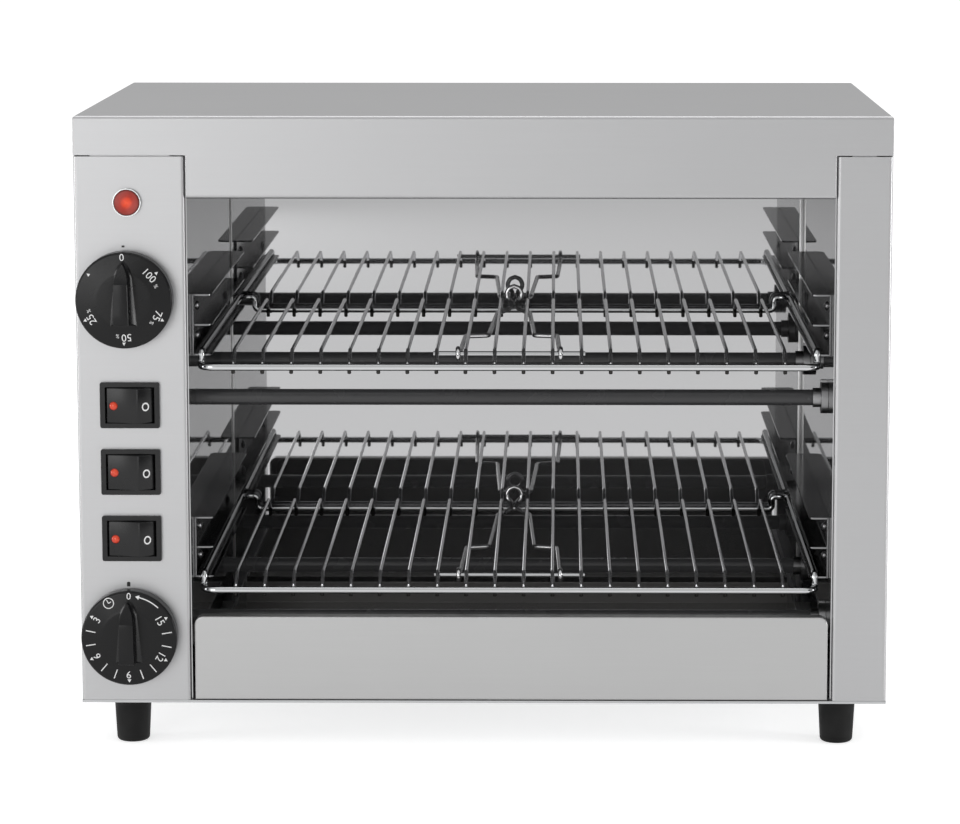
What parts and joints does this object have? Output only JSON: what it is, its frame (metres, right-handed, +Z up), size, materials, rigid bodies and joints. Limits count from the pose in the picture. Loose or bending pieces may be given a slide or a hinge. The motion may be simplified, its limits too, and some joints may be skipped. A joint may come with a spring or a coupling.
{
  "type": "cheese melter",
  "caption": "Countertop cheese melter: open mirror-lined chamber with quartz heating tubes, wire racks on side rails, a crumb tray and a control panel at the side.",
  "frame": {"origin": "middle of the overall width and depth, on the plane that the feet stand on", "axes": "+X to the right as seen by someone at the front, +Y towards the rear panel, +Z up"},
  "size_m": [0.45, 0.3142, 0.355],
  "materials": {
    "casing_steel": "fine brushed stainless sheet",
    "base_steel": "galvanised sheet",
    "liner_mirror": "mirror polished stainless sheet",
    "shield_steel": "aluminised sheet",
    "quartz_tube": "grey satin quartz",
    "heating_coil": "oxidised resistance wire",
    "cap_steel": "nickel plated end caps",
    "rail_steel": "plain stainless sheet",
    "screw_steel": "plain stainless",
    "rack_chrome": "bright chrome plated wire",
    "tray_steel": "fine brushed stainless sheet",
    "pan_steel": "plain stainless sheet",
    "knob_black": "satin black moulding",
    "spindle_steel": "turned steel",
    "mechanism_black": "thermoset moulding",
    "switch_black": "glossy black moulding",
    "lens_red": "clear red moulding",
    "ring_bright": "bright plated ring",
    "lens_orange": "clear orange moulding",
    "holder_ivory": "moulded lamp body",
    "terminal_ivory": "moulded terminal block",
    "gland_black": "nylon moulding",
    "foot_rubber": "matt black rubber"
  },
  "bodies": {
    "chassis": {"top_cover": "casing_steel", "left_casing": "casing_steel", "right_casing": "casing_steel", "base_pan": "base_steel", "rear_panel": "casing_steel", "liner_left": "liner_mirror", "liner_right": "liner_mirror", "liner_back": "liner_mirror", "liner_top": "liner_mirror", "heat_shield": "shield_steel", "heater_top_front": "quartz_tube", "heater_top_rear": "quartz_tube", "heater_middle_front": "quartz_tube", "heater_middle_rear": "quartz_tube", "heater_bottom_front": "quartz_tube", "heater_bottom_rear": "quartz_tube", "heater_coils": "heating_coil", "heater_caps_left": "cap_steel", "heater_caps_right": "cap_steel", "rail_upper_left": "rail_steel", "rail_upper_right": "rail_steel", "rail_lower_left": "rail_steel", "rail_lower_right": "rail_steel", "rail_screws": "screw_steel", "power_regulator": "mechanism_black", "timer_movement": "mechanism_black", "switch_upper": "switch_black", "switch_middle": "switch_black", "switch_lower": "switch_black", "lamp_ring": "ring_bright", "lamp_lens": "lens_orange", "lamp_holder": "holder_ivory", "terminal_block": "terminal_ivory", "cable_gland": "gland_black", "foot_front_left": "foot_rubber", "foot_front_right": "foot_rubber", "foot_rear_left": "foot_rubber", "foot_rear_right": "foot_rubber", "case_screws": "screw_steel"},
    "upper_rack": {"upper_rack_frame": "rack_chrome", "upper_rack_wires": "rack_chrome", "upper_hinge_bar": "rack_chrome"},
    "upper_handle": {"upper_handle": "rack_chrome"},
    "lower_rack": {"lower_rack_frame": "rack_chrome", "lower_rack_wires": "rack_chrome", "lower_hinge_bar": "rack_chrome"},
    "lower_handle": {"lower_handle": "rack_chrome"},
    "crumb_tray": {"tray_front": "tray_steel", "tray_pan": "pan_steel"},
    "power_knob": {"power_knob": "knob_black", "power_spindle": "spindle_steel"},
    "timer_knob": {"timer_knob": "knob_black", "timer_spindle": "spindle_steel"},
    "rocker_upper": {"rocker_upper": "switch_black", "rocker_lens_upper": "lens_red"},
    "rocker_middle": {"rocker_middle": "switch_black", "rocker_lens_middle": "lens_red"},
    "rocker_lower": {"rocker_lower": "switch_black", "rocker_lens_lower": "lens_red"}
  },
  "joints": [
    {"name": "upper_rack_slide", "type": "slide", "parent": "chassis", "child": "upper_rack", "axis": [0, -1, 0], "range_m": [0, 0.2]},
    {"name": "upper_handle_hinge", "type": "hinge", "parent": "upper_rack", "child": "upper_handle", "pos_m": [0.0141, -0.1059, 0.2199], "axis": [-1, 0, 0], "range_deg": [0, 4.5]},
    {"name": "lower_rack_slide", "type": "slide", "parent": "chassis", "child": "lower_rack", "axis": [0, -1, 0], "range_m": [0, 0.2]},
    {"name": "lower_handle_hinge", "type": "hinge", "parent": "lower_rack", "child": "lower_handle", "pos_m": [0.0141, -0.1059, 0.0937], "axis": [-1, 0, 0], "range_deg": [0, 4.5]},
    {"name": "crumb_tray_slide", "type": "slide", "parent": "chassis", "child": "crumb_tray", "axis": [0, -1, 0], "range_m": [0, 0.24]},
    {"name": "power_dial", "type": "hinge", "parent": "chassis", "child": "power_knob", "pos_m": [-0.1972, -0.1329, 0.2542], "axis": [0, 1, 0], "range_deg": [0, 308]},
    {"name": "timer_dial", "type": "hinge", "parent": "chassis", "child": "timer_knob", "pos_m": [-0.1972, -0.1329, 0.0648], "axis": [0, 1, 0], "range_deg": [-35, 300]},
    {"name": "lower_rocker", "type": "hinge", "parent": "chassis", "child": "rocker_lower", "pos_m": [-0.1956, -0.1319, 0.11981], "axis": [0, 0, -1], "range_deg": [0, 14]},
    {"name": "middle_rocker", "type": "hinge", "parent": "chassis", "child": "rocker_middle", "pos_m": [-0.1956, -0.1319, 0.15731], "axis": [0, 0, -1], "range_deg": [0, 14]},
    {"name": "upper_rocker", "type": "hinge", "parent": "chassis", "child": "rocker_upper", "pos_m": [-0.1956, -0.1319, 0.19481], "axis": [0, 0, -1], "range_deg": [0, 14]}
  ]
}
